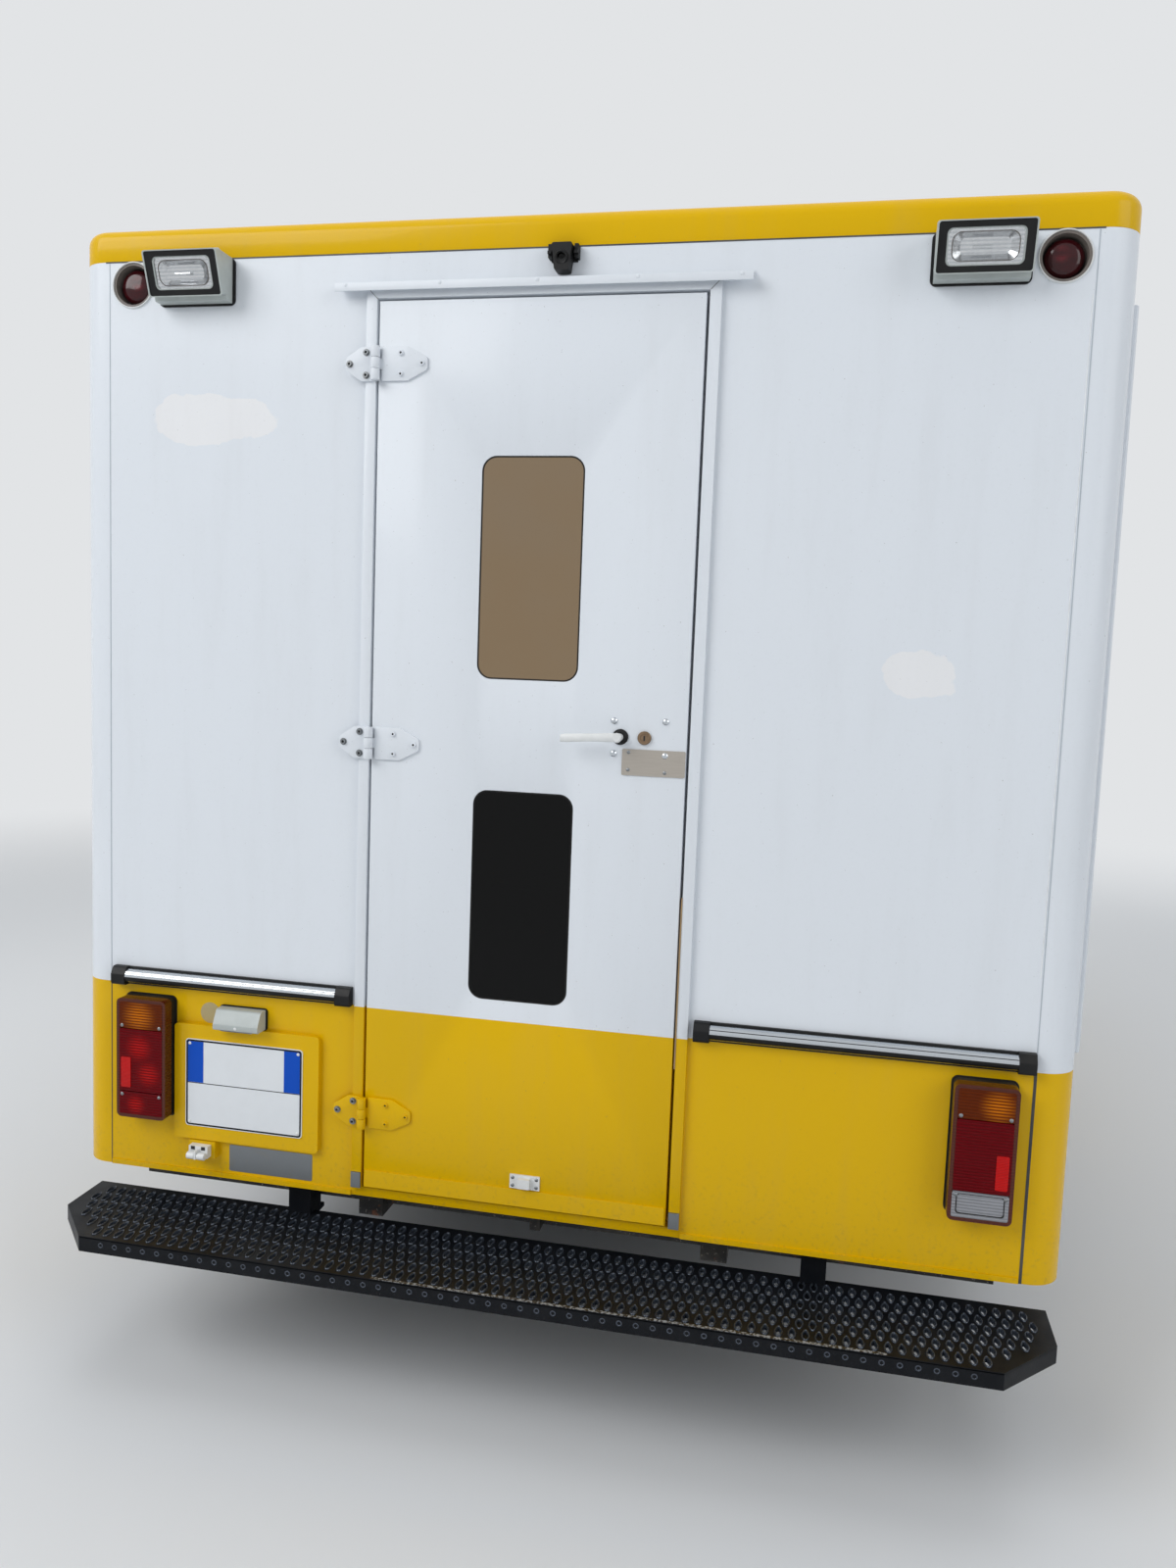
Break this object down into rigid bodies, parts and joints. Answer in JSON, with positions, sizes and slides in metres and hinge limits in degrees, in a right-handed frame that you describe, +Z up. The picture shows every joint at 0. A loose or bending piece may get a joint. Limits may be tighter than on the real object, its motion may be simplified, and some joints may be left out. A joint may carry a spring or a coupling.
{
  "type": "box-body ambulance",
  "caption": "Road ambulance: a tall box body with an offset rear door, step and lamps on a low chassis with a semi-bonneted cab, steered front wheels and hinged doors.",
  "frame": {"origin": "on the ground under the middle of the vehicle's box of length and width", "axes": "+Y forwards, +X to the vehicle's right side, +Z up"},
  "size_m": [2.47, 5.758, 2.7819],
  "materials": {
    "white_paint": "gloss coach paint, white",
    "yellow_paint": "gloss coach paint, traffic yellow",
    "black_steel": "black chassis paint",
    "step_paint": "worn black paint on pressed steel",
    "rim_paint": "silver wheel paint",
    "frame_alloy": "painted aluminium section",
    "stainless": "stainless fittings",
    "cast_iron": "machined casting",
    "clear_glass": "toughened glass",
    "dark_glass": "tinted toughened glass",
    "black_plastic": "grained black plastic",
    "grey_plastic": "grained grey plastic",
    "yellow_board": "yellow moulded board",
    "red_lens": "red lens plastic",
    "blue_lens": "blue lens plastic",
    "clear_lens": "clear lens plastic",
    "seat_cloth": "woven seat cloth",
    "tyre_rubber": "road tyre rubber"
  },
  "bodies": {
    "root": {"cab_shell": "white_paint", "windscreen": "clear_glass", "grille": "black_plastic", "headlamps": "clear_lens", "front_bumper": "black_plastic", "dashboard": "grey_plastic", "seat_bases": "black_steel", "cab_seats": "seat_cloth", "box_side_left": "white_paint", "box_side_right": "white_paint", "side_windows": "dark_glass", "corner_posts": "white_paint", "box_floor": "grey_plastic", "box_front_wall": "white_paint", "box_rear_wall": "white_paint", "rear_door_frame": "frame_alloy", "rear_hinges": "white_paint", "roof_cap": "yellow_paint", "cab_fairing": "yellow_paint", "beacons": "blue_lens", "buffer_rails": "frame_alloy", "rear_lamps": "red_lens", "work_lamps": "clear_lens", "plate_board": "yellow_board", "reversing_camera": "black_plastic", "door_catch": "yellow_paint", "side_panel": "white_paint", "rear_step": "step_paint", "chassis_frame": "black_steel", "front_subframe": "black_steel", "powertrain": "cast_iron", "rear_axle": "black_steel", "exhaust": "stainless", "fuel_tank": "black_plastic"},
    "rear_door": {"rear_door": "white_paint", "rear_door_glass": "dark_glass", "rear_door_hinges": "white_paint", "door_hardware": "stainless"},
    "side_door": {"side_door": "white_paint", "side_door_glass": "dark_glass"},
    "cab_door_left": {"cab_door_left": "white_paint", "cab_glass_left": "clear_glass", "mirror_left": "black_plastic"},
    "cab_door_right": {"cab_door_right": "white_paint", "cab_glass_right": "clear_glass", "mirror_right": "black_plastic"},
    "bonnet": {"bonnet": "white_paint"},
    "knuckle_left": {"knuckle_left": "cast_iron"},
    "knuckle_right": {"knuckle_right": "cast_iron"},
    "steering_rack": {"steering_rack": "stainless"},
    "steering_wheel": {"steering_wheel": "black_plastic"},
    "wheel_front_left": {"tyre_front_left": "tyre_rubber", "rim_front_left": "rim_paint"},
    "wheel_front_right": {"tyre_front_right": "tyre_rubber", "rim_front_right": "rim_paint"},
    "wheel_rear_left": {"tyre_rear_left": "tyre_rubber", "rim_rear_left": "rim_paint"},
    "wheel_rear_right": {"tyre_rear_right": "tyre_rubber", "rim_rear_right": "rim_paint"}
  },
  "joints": [
    {"name": "rear_door_swing", "type": "hinge", "parent": "root", "child": "rear_door", "pos_m": [-0.40025, -2.696, 1.5], "axis": [0, 0, -1], "range_deg": [0, 170]},
    {"name": "side_door_swing", "type": "hinge", "parent": "root", "child": "side_door", "pos_m": [1.148, 0.67225, 1.45], "axis": [0, 0, 1], "range_deg": [0, 100]},
    {"name": "cab_door_left_swing", "type": "hinge", "parent": "root", "child": "cab_door_left", "pos_m": [-1.011, 1.74425, 1.03], "axis": [0, 0, -1], "range_deg": [0, 70]},
    {"name": "cab_door_right_swing", "type": "hinge", "parent": "root", "child": "cab_door_right", "pos_m": [1.011, 1.74425, 1.03], "axis": [0, 0, 1], "range_deg": [0, 70]},
    {"name": "bonnet_lift", "type": "hinge", "parent": "root", "child": "bonnet", "pos_m": [0, 2.07675, 1.308], "axis": [1, 0, 0], "range_deg": [0, 50]},
    {"name": "steer_left", "type": "hinge", "parent": "root", "child": "knuckle_left", "pos_m": [-0.745, 2.029, 0.345], "axis": [0, 0, 1], "range_deg": [-35, 35]},
    {"name": "steer_right", "type": "hinge", "parent": "root", "child": "knuckle_right", "pos_m": [0.745, 2.029, 0.345], "axis": [0, 0, 1], "range_deg": [-35, 35]},
    {"name": "rack_slide", "type": "slide", "parent": "root", "child": "steering_rack", "axis": [1, 0, 0], "range_m": [-0.0705, 0.0705]},
    {"name": "hand_wheel_turn", "type": "hinge", "parent": "root", "child": "steering_wheel", "pos_m": [-0.4, 1.6397, 1.19], "axis": [0, -0.5944, 0.8042], "range_deg": [-525, 525]},
    {"name": "wheel_front_left_roll", "type": "hinge", "parent": "knuckle_left", "child": "wheel_front_left", "pos_m": [-0.825, 2.029, 0.345], "axis": [1, 0, 0], "continuous": true},
    {"name": "wheel_front_right_roll", "type": "hinge", "parent": "knuckle_right", "child": "wheel_front_right", "pos_m": [0.825, 2.029, 0.345], "axis": [1, 0, 0], "continuous": true},
    {"name": "wheel_rear_left_roll", "type": "hinge", "parent": "root", "child": "wheel_rear_left", "pos_m": [-0.9, -1.321, 0.345], "axis": [1, 0, 0], "continuous": true},
    {"name": "wheel_rear_right_roll", "type": "hinge", "parent": "root", "child": "wheel_rear_right", "pos_m": [0.9, -1.321, 0.345], "axis": [1, 0, 0], "continuous": true}
  ],
  "couplings": [
    {"joint": "steer_right", "follows": "steer_left", "ratio": 1},
    {"joint": "rack_slide", "follows": "steer_left", "m_per_rad": 0.115},
    {"joint": "hand_wheel_turn", "follows": "steer_left", "ratio": 15}
  ]
}
